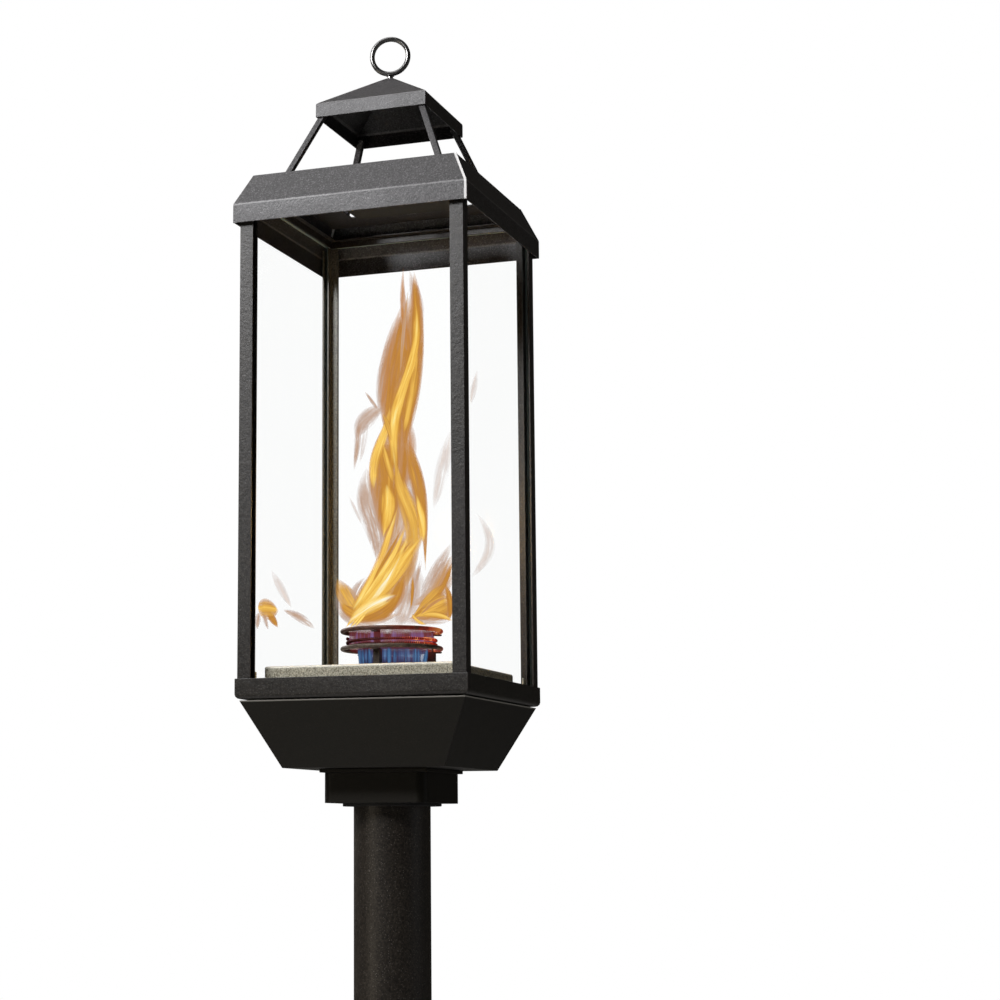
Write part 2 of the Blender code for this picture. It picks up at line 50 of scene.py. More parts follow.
MM = 0.001
BASE = 1.265  # height of the collar's underside, where the lantern's own heights start
EAVE_FOLD = BASE + 0.5918  # where the roof panels bend down into their lips
CAP_FOLD = BASE + 0.7082  # the same on the cap
HOPPER_HIGHLIGHT_BAND = (BASE + 0.0962, BASE + 0.0970)  # from here to here the hopper's coat turns pale: a painted highlight along its upper edge
PAN_HIGHLIGHT_BAND = (BASE + 0.1282, BASE + 0.1302)  # and the pan's finish too: a painted highlight along its upper edge
LOWER_GUARD, UPPER_GUARD = BASE + 0.1530, BASE + 0.1705  # heights of the burner's two guard rings
GUARD_RADIUS, GUARD_WIRE = 0.0493, 0.00215  # radii of a guard ring and of its wire
COIL_RADIUS, COIL_FOOT, COIL_RISE = 0.0443, BASE + 0.1545, 0.0090
COIL_TURNS, COIL_START = 2, math.radians(200)
CORE_WIRE = 0.00105  # radius of the coil's core
WINDING_RADIUS, WINDING_WIRE = 0.00140, 0.00034  # radii of the winding on it and of the winding's wire
SMOOTH_ANGLE = math.radians(32)  # an edge that turns by more than this stays sharp
FLOOR_RADIUS, FLOOR_DROP = 9.0, 0.0005
FLOOR_GLOW = 0.62  # how much of the floor's paleness is its own, like a lit sweep of studio paper


# ---------------------------------------------------------------- camera, floor, light
def make_camera():
    data = bpy.data.cameras.new("camera")
    data.lens = 81.09
    data.sensor_width = 36
    data.shift_x = 0.15
    data.clip_end = 100
    camera = bpy.data.objects.new("camera", data)
    camera.location = (0.774, -2.1143, 1.2332)
    camera.rotation_euler = (math.radians(98.48), 0, math.radians(21.17))
    collection.objects.link(camera)
    scene.camera = camera


def area_light(name, location, target, size, power, colour):
    """A soft rectangular light that faces target."""
    data = bpy.data.lights.new(name, "AREA")
    data.shape = "RECTANGLE"
    data.size, data.size_y = size
    data.energy = power
    data.color = colour
    light = bpy.data.objects.new(name, data)
    light.location = location
    aim = Vector(target) - Vector(location)
    light.rotation_euler = aim.to_track_quat("-Z", "Y").to_euler()
    collection.objects.link(light)


def make_lights():
    area_light("key", (-0.74, -1.41, 2.62), (0.0, -0.1, 1.80), (0.6, 0.6), 31, (0.985, 0.985, 1.0))
    area_light("back_fill", (-1.9, 1.3, 2.4), (0, 0, 1.5), (1.4, 1.4), 22, (1, 0.97, 0.93))
    area_light("rear_fill", (-0.9, 2.5, 2.2), (0, 0.1, 1.55), (1.0, 1.0), 10, (1, 0.98, 0.95))
    area_light("side_fill", (2.6, 0.3, 1.6), (0, 0, 1.5), (1.2, 1.6), 1.6, (0.96, 0.98, 1))
    area_light("low_fill", (-1.3, -1.5, 0.9), (0, 0, 1.2), (0.7, 0.7), 2.6, (1, 0.86, 0.66))
    area_light("floor_wash", (-0.9, -0.4, 4.2), (0, 0, 0), (2.0, 2.0), 26, (1, 1, 1))
    flame = bpy.data.lights.new("flame_light", "POINT")
    flame.energy = 1.1
    flame.color = (1, 0.62, 0.22)
    flame.shadow_soft_size = 0.035
    lamp = bpy.data.objects.new("flame_light", flame)
    lamp.location = (0.004, 0, BASE + 0.30)
    collection.objects.link(lamp)


def make_world():
    """A white studio surround, which lights the black coat only faintly."""
    scene.view_settings.view_transform = "Standard"
    scene.cycles.transparent_max_bounces = 64  # the flame is many thin layers
    world = bpy.data.worlds.new("studio")
    scene.world = world
    world.use_nodes = True
    tree = world.node_tree
    tree.nodes.clear()
    out = tree.nodes.new("ShaderNodeOutputWorld")
    mix = tree.nodes.new("ShaderNodeMixShader")
    path = tree.nodes.new("ShaderNodeLightPath")
    seen = tree.nodes.new("ShaderNodeBackground")
    lit = tree.nodes.new("ShaderNodeBackground")
    seen.inputs["Color"].default_value = (1, 1, 1, 1)
    seen.inputs["Strength"].default_value = 1.0
    lit.inputs["Color"].default_value = (1, 0.9, 0.78, 1)
    lit.inputs["Strength"].default_value = 0.03
    tree.links.new(path.outputs["Is Camera Ray"], mix.inputs["Fac"])
    tree.links.new(lit.outputs[0], mix.inputs[1])
    tree.links.new(seen.outputs[0], mix.inputs[2])
    tree.links.new(mix.outputs[0], out.inputs["Surface"])


# ---------------------------------------------------------------- node helpers
class Nodes:
    """A short way to write a material's nodes. A value is a number, a colour or another node's socket."""

    def __init__(self, name):
        self.material = bpy.data.materials.new(name)
        self.material.use_nodes = True
        self.tree = self.material.node_tree
        self.tree.nodes.clear()
        self.out = self.tree.nodes.new("ShaderNodeOutputMaterial")

    def put(self, socket, value):
        if isinstance(value, bpy.types.NodeSocket):
            self.tree.links.new(value, socket)
        else:
            socket.default_value = value

    def add(self, kind, **inputs):
        node = self.tree.nodes.new("ShaderNode" + kind)
        for name, value in inputs.items():
            self.put(node.inputs[name.replace("_", " ")], value)
        return node

    def calculate(self, kind, operation, values):
        node = self.tree.nodes.new(kind)
        node.operation = operation
        for socket, value in zip(node.inputs, values):
            self.put(socket, value)
        return node

    def math(self, operation, *values, clamp=False):
        node = self.calculate("ShaderNodeMath", operation, values)
        node.use_clamp = clamp
        return node.outputs[0]

    def times(self, first, second):
        return self.math("MULTIPLY", first, second)

    def plus(self, first, second):
        return self.math("ADD", first, second)

    def size_of(self, value):
        return self.math("ABSOLUTE", value)

    def stretch(self, vector, by):
        return self.calculate("ShaderNodeVectorMath", "MULTIPLY", (vector, by)).outputs[0]

    def distance(self, vector, point):
        return self.calculate("ShaderNodeVectorMath", "DISTANCE", (vector, point)).outputs["Value"]

    def blend_shaders(self, factor, first, second):
        node = self.add("MixShader")
        for socket, value in zip(node.inputs, (factor, first.outputs[0], second.outputs[0])):
            self.put(socket, value)
        return node

    def position(self):
        return self.add("TexCoord").outputs["Object"]

    def axis(self, vector, which):
        return self.add("SeparateXYZ", Vector=vector).outputs[which]

    def noise(self, vector, scale, detail=2.0, roughness=0.5, distortion=0.0):
        made = self.add(
            "TexNoise", Vector=vector, Scale=scale, Detail=detail, Roughness=roughness, Distortion=distortion
        )
        return made.outputs["Fac"]

    def ramp(self, value, *stops):
        node = self.add("ValToRGB", Fac=value)
        ramp = node.color_ramp
        while len(ramp.elements) < len(stops):
            ramp.elements.new(0.5)
        for element, (place, colour) in zip(ramp.elements, stops):
            element.position = place
            element.color = (*colour, 1)
        return node.outputs["Color"]

    def span(self, value, low, high, to_low=0.0, to_high=1.0):
        made = self.add("MapRange", Value=value, From_Min=low, From_Max=high, To_Min=to_low, To_Max=to_high)
        made.clamp = True
        return made.outputs["Result"]

    def mix(self, factor, first, second, blend="MIX"):
        node = self.tree.nodes.new("ShaderNodeMix")
        node.data_type = "RGBA"
        node.blend_type = blend
        sockets = [s for s in node.inputs if s.enabled]
        for socket, value in zip(sockets, (factor, first, second)):
            self.put(socket, (*value, 1) if isinstance(value, tuple) else value)
        return [s for s in node.outputs if s.enabled][0]

    def bump(self, height, strength, distance):
        return self.add("Bump", Height=height, Strength=strength, Distance=distance).outputs["Normal"]

    def principled(self, **inputs):
        self.finish(self.add("BsdfPrincipled", **inputs))

    def finish(self, shader):
        self.tree.links.new(shader.outputs[0], self.out.inputs["Surface"])


# ---------------------------------------------------------------- materials
# painted highlight down two of the roof's hips
PAINTED_HIP_HIGHLIGHT = (0.80, 0.79, 0.78)
# painted highlight along the roof's and cap's folds
FOLD_HIGHLIGHT = (0.22, 0.215, 0.22)
# painted highlight along the hopper's upper edge
PAINTED_EDGE_HIGHLIGHT = (0.34, 0.33, 0.30)
SETTLED_DUST = (0.16, 0.145, 0.12)


def settled_dust(n, place, amount):
    """Where dust lies on upward faces, in speckles."""
    upward = n.span(n.axis(n.add("NewGeometry").outputs["Normal"], 2), 0.35, 1.0)
    speckle = n.span(n.noise(place, 46, detail=5, roughness=0.7), 0.42, 0.7)
    return n.times(n.times(upward, speckle), amount)


def fold_highlight_line(n, place, grains, height):
    """A painted highlight: a thin pale line along a fold at one height."""
    off = n.size_of(n.math("SUBTRACT", n.axis(place, 2), height))
    return n.times(n.span(off, 0.0013, 0.0004), n.span(grains, 0.35, 0.6, 0.35, 0.8))


def painted_hip_line(n, place):
    """A painted highlight: a pale line down the two hips where x and y have unlike signs."""
    east, north = n.axis(place, 0), n.axis(place, 1)
    inward = n.math("SUBTRACT", n.size_of(north), n.size_of(east))
    return n.times(n.span(inward, 0.0030, 0.0022), n.span(n.times(east, north), 0.0, -0.0008))


def powder_coat(
    name, dark, light, fleck, roughness,
    grain=620, fleck_share=0.86, bump=0.5, dust=0.0, gloss=0.55, seam=False, highlight_folds=(), highlight_band=None,
):
    """Sand-textured powder coat: a fine pebbled skin with paler grains standing out of it. It can also lay
    dust on upward faces and paint highlights along folds, down hips and along an upper edge.
    """
    n = Nodes(name)
    place = n.position()
    grains = n.noise(place, grain, detail=3, roughness=0.6)
    coarse = n.noise(place, grain / 3.1, detail=2)
    patches = n.noise(place, 9, detail=3, roughness=0.6)
    cells = n.add("TexVoronoi", Vector=place, Scale=grain * 1.9)
    colour = n.mix(n.span(grains, 0.38, 0.66), dark, light)
    shade = n.ramp(patches, (0.3, (0.8, 0.8, 0.8)), (0.72, (1.18, 1.17, 1.15)))
    colour = n.mix(1.0, colour, shade, "MULTIPLY")
    picked = n.span(n.axis(cells.outputs["Color"], 0), fleck_share, 1.0)
    colour = n.mix(n.times(picked, n.span(cells.outputs["Distance"], 0.6, 0.1)), colour, fleck)
    if dust:
        colour = n.mix(settled_dust(n, place, dust), colour, SETTLED_DUST)
    # painted highlight: a pale line at each fold height given
    for hem in highlight_folds:
        colour = n.mix(fold_highlight_line(n, place, grains, hem), colour, FOLD_HIGHLIGHT)
    # seam paints a highlight down two of the hips
    if seam:
        colour = n.mix(painted_hip_line(n, place), colour, PAINTED_HIP_HIGHLIGHT)
    # painted highlight: the coat turns pale above a height
    if highlight_band:
        colour = n.mix(n.span(n.axis(place, 2), *highlight_band), colour, PAINTED_EDGE_HIGHLIGHT)
    height = n.plus(n.times(grains, 0.7), n.times(coarse, 0.6))
    rough = n.plus(patches, n.times(grains, 0.35))
    n.principled(
        Base_Color=colour,
        Roughness=n.span(rough, 0.4, 0.95, roughness - 0.06, roughness + 0.08),
        Specular_IOR_Level=gloss,
        Normal=n.bump(height, bump, 0.00035),
    )
    return n.material


def pan_finish():
    """Pale, hammered grey-cream finish of the plate under the burner, with a painted highlight along its
    upper edge.
    """
    n = Nodes("pan_finish")
    place = n.position()
    grains = n.noise(place, 760, detail=3, roughness=0.66)
    worms = n.noise(place, 210, detail=2, distortion=1.2)
    pit, skin, crest = (0.14, 0.125, 0.085), (0.42, 0.39, 0.30), (0.70, 0.66, 0.53)
    colour = n.ramp(grains, (0.33, pit), (0.48, skin), (0.64, crest))
    # painted highlight: the finish turns pale along the pan's upper edge
    colour = n.mix(n.times(n.span(n.axis(place, 2), *PAN_HIGHLIGHT_BAND), 0.6), colour, (0.9, 0.87, 0.78))
    n.principled(
        Base_Color=colour,
        Roughness=n.span(grains, 0.3, 0.7, 0.42, 0.6),
        Metallic=0.25,
        Normal=n.bump(n.plus(grains, n.times(worms, 0.5)), 0.6, 0.0004),
    )
    return n.material


def metal(name, low, high, roughness, metallic=1.0, scale=120, bump=0.15, stain=None):
    """Bare or plated metal with soft mottling and fine scratches."""
    n = Nodes(name)
    place = n.position()
    mottle = n.noise(place, scale, detail=4, roughness=0.6)
    scratches = n.noise(n.stretch(place, (900, 900, 90)), 1.0, detail=2)
    colour = n.mix(n.span(mottle, 0.35, 0.68), low, high)
    if stain:
        marks = n.span(n.noise(place, 55, detail=5, roughness=0.7), 0.52, 0.7)
        colour = n.mix(n.times(marks, 0.7), colour, stain)
    n.principled(
        Base_Color=colour,
        Roughness=n.span(mottle, 0.3, 0.7, roughness - 0.07, roughness + 0.1),
        Metallic=metallic,
        Normal=n.bump(n.plus(mottle, n.times(scratches, 0.4)), bump, 0.0002),
    )
    return n.material


def moulding(name, colour, roughness):
    """Plain rubber or plastic with a fine grain and slow changes of shade."""
    n = Nodes(name)
    place = n.position()
    grains = n.noise(place, 800, detail=2)
    paler = tuple(channel * 1.6 + 0.004 for channel in colour)
    n.principled(
        Base_Color=n.mix(n.span(n.noise(place, 60, detail=3), 0.3, 0.7), colour, paler),
        Roughness=n.span(grains, 0.3, 0.7, roughness - 0.05, roughness + 0.08),
        Normal=n.bump(grains, 0.3, 0.0002),
    )
    return n.material


def clear_glass(name, edge_axis):
    """A toughened pane: clear, nearly free of gloss, and grey-green where its cut edges show."""
    n = Nodes(name)
    streaks = n.noise(n.stretch(n.position(), (30, 30, 5)), 1.0, detail=4)
    clear = n.add("BsdfTransparent", Color=(0.998, 1.0, 0.999, 1))
    gloss = n.add("BsdfGlossy", Color=(1, 1, 1, 1), Roughness=n.span(streaks, 0.3, 0.8, 0.0, 0.04))
    fresnel = n.add("Fresnel", IOR=1.5).outputs[0]
    pane = n.blend_shaders(n.times(fresnel, 0.03), clear, gloss)
    normal = n.add("NewGeometry").outputs["Normal"]
    sideways, upright = n.size_of(n.axis(normal, edge_axis)), n.size_of(n.axis(normal, 2))
    edge = n.span(n.math("MAXIMUM", sideways, upright), 0.35, 0.8)
    tint = n.mix(streaks, (0.20, 0.27, 0.25), (0.42, 0.50, 0.47))
    cut = n.add("BsdfPrincipled", Base_Color=tint, Roughness=0.25)
    n.finish(n.blend_shaders(edge, pane, cut))
    return n.material


def hot_steel(name, glow, centre, reach, level, low=(0.055, 0.04, 0.032), high=(0.16, 0.13, 0.11)):
    """Scaled burner steel, red-hot around one spot and dull brown elsewhere."""
    n = Nodes(name)
    place = n.position()
    scale_marks = n.noise(place, 210, detail=4, roughness=0.65)
    near = n.span(n.distance(place, centre), reach, reach * 0.35)
    heat = n.times(near, n.span(n.noise(place, 95, detail=3, roughness=0.6), 0.3, 0.62))
    cold, dull, red = (0.0, 0.0, 0.0), (0.16, 0.008, 0.004), (0.55, 0.035, 0.012)
    n.principled(
        Base_Color=n.mix(n.span(scale_marks, 0.35, 0.68), low, high),
        Roughness=n.span(scale_marks, 0.3, 0.7, 0.42, 0.66),
        Metallic=0.55,
        Normal=n.bump(scale_marks, 0.35, 0.0003),
        Emission_Color=n.ramp(heat, (0.0, cold), (0.3, dull), (0.7, red), (1.0, glow)),
        Emission_Strength=level,
    )
    return n.material


def flame_material(name, stops, opacity, fibre, contrast, heat_lift, softness):
    """Burning gas: soft at its sides and ends, streaked along its length. It reads how far across and along
    a tongue a point is, which the tongue's mesh carries."""
    n = Nodes(name)
    flow, streak = n.add("Attribute"), n.add("Attribute")
    flow.attribute_name, streak.attribute_name = "flow", "streak"
    across, along = n.axis(flow.outputs["Vector"], 0), n.axis(flow.outputs["Vector"], 1)
    fine = n.stretch(streak.outputs["Vector"], (fibre, fibre * 0.06, 1))
    broad = n.stretch(streak.outputs["Vector"], (fibre * 0.22, fibre * 0.07, 1))
    threads = n.noise(fine, 1.0, detail=3, roughness=0.5, distortion=0.35)
    billow = n.noise(broad, 1.0, detail=2)
    side = n.math("SUBTRACT", 1.0, n.math("POWER", n.size_of(across), 2.0), clamp=True)
    soft = n.math("POWER", side, softness)
    ends = n.times(n.span(along, 0.0, 0.16), n.span(along, 1.0, 0.72))
    woven = n.plus(n.times(threads, 0.6), n.times(billow, 0.4))
    thin = n.span(woven, 0.5 - contrast, 0.5 + contrast * 0.15)
    alpha = n.math("MULTIPLY", n.times(soft, ends), n.times(thin, opacity), clamp=True)
    heat = n.plus(n.times(side, 0.62), n.times(n.math("SUBTRACT", threads, 0.5), 1.7))
    heat = n.math("ADD", n.math("SUBTRACT", heat, n.times(along, 0.12)), heat_lift, clamp=True)
    glow = n.add("Emission", Color=n.ramp(heat, *stops))
    n.finish(n.blend_shaders(alpha, n.add("BsdfTransparent"), glow))
    return n.material


def floor_paint():
    """Pale studio floor, whose own glow only the camera sees."""
    n = Nodes("studio_floor")
    tone = n.mix(n.noise(n.position(), 3, detail=3), (0.74, 0.74, 0.73), (0.8, 0.8, 0.79))
    painted = n.add("BsdfPrincipled", Base_Color=tone, Roughness=0.7)
    seen = n.add("LightPath").outputs["Is Camera Ray"]
    glow = n.add("Emission", Color=(1, 1, 1, 1), Strength=n.times(seen, FLOOR_GLOW))
    both = n.add("AddShader")
    n.put(both.inputs[0], painted.outputs[0])
    n.put(both.inputs[1], glow.outputs[0])
    n.finish(both)
    return n.material


ROOF_LOOK = {
    "dark": (0.010, 0.009, 0.010), "light": (0.052, 0.048, 0.052), "fleck": (0.20, 0.195, 0.20),
    "roughness": 0.43, "grain": 470, "fleck_share": 0.5, "dust": 0.12, "bump": 0.85,
}
# both roof coats paint highlights along the folds; the second also paints a highlight down two hips
ROOF_COAT = powder_coat("roof_coat", highlight_folds=(EAVE_FOLD, CAP_FOLD), **ROOF_LOOK)
ROOF_COAT_WITH_HIP_HIGHLIGHT = powder_coat("roof_coat_with_hip_highlight", highlight_folds=(EAVE_FOLD,), seam=True, **ROOF_LOOK)
BODY_COAT = powder_coat(
    "body_coat", (0.008, 0.0068, 0.0058), (0.030, 0.026, 0.022), (0.10, 0.094, 0.088), 0.45,
    grain=500, fleck_share=0.55, bump=1.0,
)
# the hopper's coat paints a highlight along its upper edge
HOPPER_COAT = powder_coat(
    "hopper_coat", (0.0042, 0.0032, 0.0010), (0.0085, 0.0064, 0.0025), (0.03, 0.026, 0.018), 0.5,
    grain=820, bump=0.25, gloss=0.35, highlight_band=HOPPER_HIGHLIGHT_BAND,
)
BAFFLE_COAT = powder_coat(
    "baffle_coat", (0.014, 0.011, 0.006), (0.036, 0.030, 0.018), (0.08, 0.07, 0.05), 0.5,
    grain=500, bump=0.6,
)
POLE_COAT = powder_coat(
    "pole_finish", (0.008, 0.006, 0.0045), (0.042, 0.034, 0.026), (0.22, 0.20, 0.18), 0.42,
    grain=560, bump=0.5,
)
# painted light: a paler copy of the body coat for the back-left post and its glass retainer, standing in for
# the light that falls on them
BACK_LEFT_LIT_COAT = powder_coat(
    "back_left_painted_light_coat", (0.07, 0.066, 0.052), (0.18, 0.17, 0.138), (0.30, 0.29, 0.25), 0.34,
    grain=600, bump=0.4,
)
PAN = pan_finish()
GLASS_ACROSS = clear_glass("glass_front_back", 0)
GLASS_ALONG = clear_glass("glass_left_right", 1)
ZINC = metal("zinc_plating", (0.40, 0.40, 0.39), (0.66, 0.66, 0.64), 0.32, stain=(0.30, 0.28, 0.24))
BRASS = metal("brass_metal", (0.42, 0.28, 0.10), (0.72, 0.52, 0.22), 0.3, stain=(0.22, 0.13, 0.06))
PIPE = metal(
    "black_pipe", (0.03, 0.03, 0.03), (0.09, 0.085, 0.08), 0.5, metallic=0.7, stain=(0.10, 0.05, 0.03)
)
RING_COAT = metal(
    "ring_metal", (0.16, 0.16, 0.158), (0.26, 0.255, 0.25), 0.2, metallic=0.9, scale=70, bump=0.04
)
RUBBER = moulding("bushing_rubber", (0.012, 0.012, 0.012), 0.75)
KNOB = moulding("knob_moulding", (0.02, 0.02, 0.021), 0.45)

# Each gas's colours, from its coolest to its hottest part.
EMBER_STOPS = (
    (0.0, (0.55, 0.29, 0.14)),
    (0.35, (0.50, 0.215, 0.04)),
    (0.7, (0.57, 0.26, 0.045)),
    (1.0, (0.80, 0.44, 0.085)),
)
BODY_STOPS = (
    (0.0, (0.52, 0.23, 0.045)),
    (0.3, (0.65, 0.33, 0.06)),
    (0.6, (0.82, 0.47, 0.09)),
    (1.0, (0.98, 0.64, 0.15)),
)
CORE_STOPS = (
    (0.0, (0.62, 0.29, 0.05)),
    (0.35, (0.86, 0.48, 0.08)),
    (0.7, (0.99, 0.66, 0.15)),
    (1.0, (1.0, 0.84, 0.34)),
)
RUST_STOPS = ((0.0, (0.56, 0.34, 0.22)), (0.5, (0.53, 0.23, 0.07)), (1.0, (0.60, 0.27, 0.055)))
WHITE_STOPS = (
    (0.0, (0.88, 0.50, 0.08)),
    (0.4, (1.0, 0.70, 0.20)),
    (0.75, (1.0, 0.89, 0.56)),
    (1.0, (1.0, 0.98, 0.88)),
)
DUSK_STOPS = ((0.0, (0.62, 0.44, 0.33)), (0.5, (0.56, 0.32, 0.17)), (1.0, (0.60, 0.30, 0.07)))
VEIL_STOPS = ((0.0, (0.56, 0.43, 0.38)), (0.5, (0.52, 0.35, 0.26)), (1.0, (0.50, 0.27, 0.14)))
SMOKE_STOPS = ((0.0, (0.44, 0.35, 0.31)), (0.6, (0.56, 0.42, 0.36)), (1.0, (0.70, 0.52, 0.42)))
BLUE_STOPS = ((0.0, (0.05, 0.02, 0.02)), (0.5, (0.045, 0.06, 0.15)), (1.0, (0.14, 0.32, 0.60)))
JET_STOPS = ((0.0, (0.02, 0.025, 0.07)), (0.5, (0.035, 0.10, 0.23)), (1.0, (0.13, 0.32, 0.54)))
VIOLET_STOPS = (
    (0.0, (0.09, 0.015, 0.014)),
    (0.42, (0.17, 0.04, 0.045)),
    (0.7, (0.22, 0.13, 0.32)),
    (1.0, (0.40, 0.46, 0.82)),
)

GASES = {
    "ember": flame_material("gas_ember", EMBER_STOPS, 1.1, 300, 0.52, 0.05, 0.42),
    "body": flame_material("gas_body", BODY_STOPS, 1.1, 330, 0.5, -0.02, 0.6),
    "core": flame_material("gas_core", CORE_STOPS, 1.1, 420, 0.5, 0.06, 0.85),
    "white": flame_material("gas_white", WHITE_STOPS, 1.1, 420, 0.5, 0.12, 0.9),
    "dusk": flame_material("gas_dusk", DUSK_STOPS, 0.95, 360, 0.40, -0.05, 0.5),
    "veil": flame_material("gas_veil", VEIL_STOPS, 0.72, 620, 0.16, -0.05, 0.7),
    "smoke": flame_material("gas_smoke", SMOKE_STOPS, 0.36, 480, 0.22, 0.1, 1.0),
    "rust": flame_material("gas_rust", RUST_STOPS, 0.85, 420, 0.45, -0.05, 0.6),
    "blue": flame_material("gas_blue", BLUE_STOPS, 0.62, 300, 0.26, 0.0, 0.5),
    "jet": flame_material("gas_jet", JET_STOPS, 0.75, 300, 0.30, 0.0, 0.7),
    "violet": flame_material("gas_violet", VIOLET_STOPS, 0.72, 160, 0.34, -0.1, 0.35),
}
BURNER_STEEL = hot_steel(
    "burner_steel", (1.0, 0.30, 0.08), (0.02, -0.01, BASE + 0.170), 0.045, level=0.35,
    low=(0.018, 0.012, 0.009), high=(0.06, 0.045, 0.035),
)
UPPER_RING = hot_steel(
    "upper_ring_steel", (1.0, 0.34, 0.08), (0.034, 0.020, UPPER_GUARD), 0.080, level=0.42,
    low=(0.05, 0.020, 0.014), high=(0.13, 0.065, 0.05),
)
LOWER_RING = hot_steel("lower_ring_steel", (1.0, 0.28, 0.07), (0.02, 0.045, LOWER_GUARD), 0.062, level=0.6)
COIL_STEEL = hot_steel(
    "coil_steel", (1.0, 0.25, 0.06), (0.0, 0.0, BASE + 0.160), 0.11, level=0.05,
    low=(0.05, 0.008, 0.010), high=(0.12, 0.02, 0.022),
)
WINDING = hot_steel(
    "winding_steel", (1.0, 0.40, 0.14), (0.040, -0.020, BASE + 0.160), 0.045, level=0.9,
    low=(0.05, 0.012, 0.014), high=(0.11, 0.03, 0.03),
)

SLOT_FINISH = {
    "black_coat": BODY_COAT,
    "pole_coat": POLE_COAT,
    "pan_steel": PAN,
    "zinc": ZINC,
    "brass": BRASS,
    "pipe_steel": PIPE,
    "heated_steel": BURNER_STEEL,
    "rubber": RUBBER,
    "knob": KNOB,
}
NODE_FINISH = {
    "roof_panel_front": ROOF_COAT_WITH_HIP_HIGHLIGHT,
    "roof_panel_back": ROOF_COAT_WITH_HIP_HIGHLIGHT,
    "baffle_plate": BAFFLE_COAT,
    "glass_pane_front": GLASS_ACROSS,
    "glass_pane_back": GLASS_ACROSS,
    "glass_pane_left": GLASS_ALONG,
    "glass_pane_right": GLASS_ALONG,
    # these two get the paler coat with painted light
    "glass_retainer_back_left": BACK_LEFT_LIT_COAT,
    "post_back_left": BACK_LEFT_LIT_COAT,
}


# ---------------------------------------------------------------- carried-over CAD nodes
def smoothing_group():
    """Rounds the shading of curved faces and keeps creases crisp."""
    group = bpy.data.node_groups.new("smooth_by_angle", "GeometryNodeTree")
    group.interface.new_socket("Geometry", in_out="INPUT", socket_type="NodeSocketGeometry")
    group.interface.new_socket("Geometry", in_out="OUTPUT", socket_type="NodeSocketGeometry")
    add, link = group.nodes.new, group.links.new
    start, end = add("NodeGroupInput"), add("NodeGroupOutput")
    drop = add("GeometryNodeRemoveAttribute")
    drop.inputs["Name"].default_value = "custom_normal"
    faces = add("GeometryNodeSetShadeSmooth")
    faces.domain = "FACE"
    edges = add("GeometryNodeSetShadeSmooth")
    edges.domain = "EDGE"
    edges.inputs["Shade Smooth"].default_value = False
    angle = add("GeometryNodeInputMeshEdgeAngle")
    sharp = add("FunctionNodeCompare")
    sharp.operation = "GREATER_THAN"
    sharp.inputs[1].default_value = SMOOTH_ANGLE
    link(start.outputs[0], drop.inputs["Geometry"])
    link(drop.outputs["Geometry"], faces.inputs["Geometry"])
    link(faces.outputs["Geometry"], edges.inputs["Geometry"])
    link(angle.outputs["Unsigned Angle"], sharp.inputs[0])
    link(sharp.outputs[0], edges.inputs["Selection"])
    link(edges.outputs["Geometry"], end.inputs[0])
    return group


SMOOTHING = smoothing_group()


def soften(obj, width):
    """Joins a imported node's split faces and rounds its edges a little, without touching its mesh."""
    weld = obj.modifiers.new("join", "WELD")
    weld.merge_threshold = 0.00002
    flat = obj.modifiers.new("flats", "DECIMATE")
    flat.decimate_type = "DISSOLVE"
    flat.angle_limit = math.radians(0.6)
    edge = obj.modifiers.new("edge", "BEVEL")
    edge.width = width
    edge.segments = 2
    edge.limit_method = "ANGLE"
    edge.angle_limit = math.radians(35)
    round_off = obj.modifiers.new("shading", "NODES")
    round_off.node_group = SMOOTHING
    even = obj.modifiers.new("flat_faces", "WEIGHTED_NORMAL")
    even.keep_sharp = True


SMALL_NODES = ("glass", "baffle_bracket", "burner", "air", "mixing", "ring_nut", "valve", "orifice")
SMALL_EDGE, LARGE_EDGE = 0.0002, 0.0005  # how wide their edges and all others are rounded


def finish_of(name, slot):
    """A CAD node's look, by its own name, by its family of names, or by its material slot."""
    if name in NODE_FINISH:
        return NODE_FINISH[name]
    if name.startswith(("roof_", "cap", "top_ring")):
        return ROOF_COAT
    if name.startswith(("hopper", "collar")) and "screw" not in name:
        return HOPPER_COAT
    if name.startswith("glass_clip"):
        return PAN
    return SLOT_FINISH.get(slot, BODY_COAT)


def dress_nodes():
    """Gives each CAD node its look. Every slot's name is read before any of them is replaced."""
    slot_of = {name: obj.material_slots[0].material.name for name, obj in nodes.items()}
    for name, obj in nodes.items():
        obj.material_slots[0].material = finish_of(name, slot_of[name])
        soften(obj, SMALL_EDGE if name.startswith(SMALL_NODES) else LARGE_EDGE)


# ---------------------------------------------------------------- mesh helpers
def add_piece(name, work, finish, body, replaces=(), crease=SMOOTH_ANGLE):
    """Makes a piece of a bmesh, shaded smooth but for edges that turn by more than crease."""
    bmesh.ops.recalc_face_normals(work, faces=work.faces)
    for face in work.faces:
        face.smooth = True
    for edge in work.edges:
        if len(edge.link_faces) == 2 and edge.calc_face_angle(0) > crease:
            edge.smooth = False
    mesh = bpy.data.meshes.new(name)
    work.to_mesh(mesh)
    work.free()
    mesh.materials.append(finish)
    obj = bpy.data.objects.new(name, mesh)
    collection.objects.link(obj)
    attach(obj, body)
    if replaces:
        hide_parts(*replaces)


def turned_rings(work, profile, steps):
    """A profile of (radius, height) as vertices, once for each step round Z."""
    rings = []
    for i in range(steps):
        turn = 2 * math.pi * i / steps
        rings.append([work.verts.new((r * math.cos(turn), r * math.sin(turn), z)) for r, z in profile])
    return rings


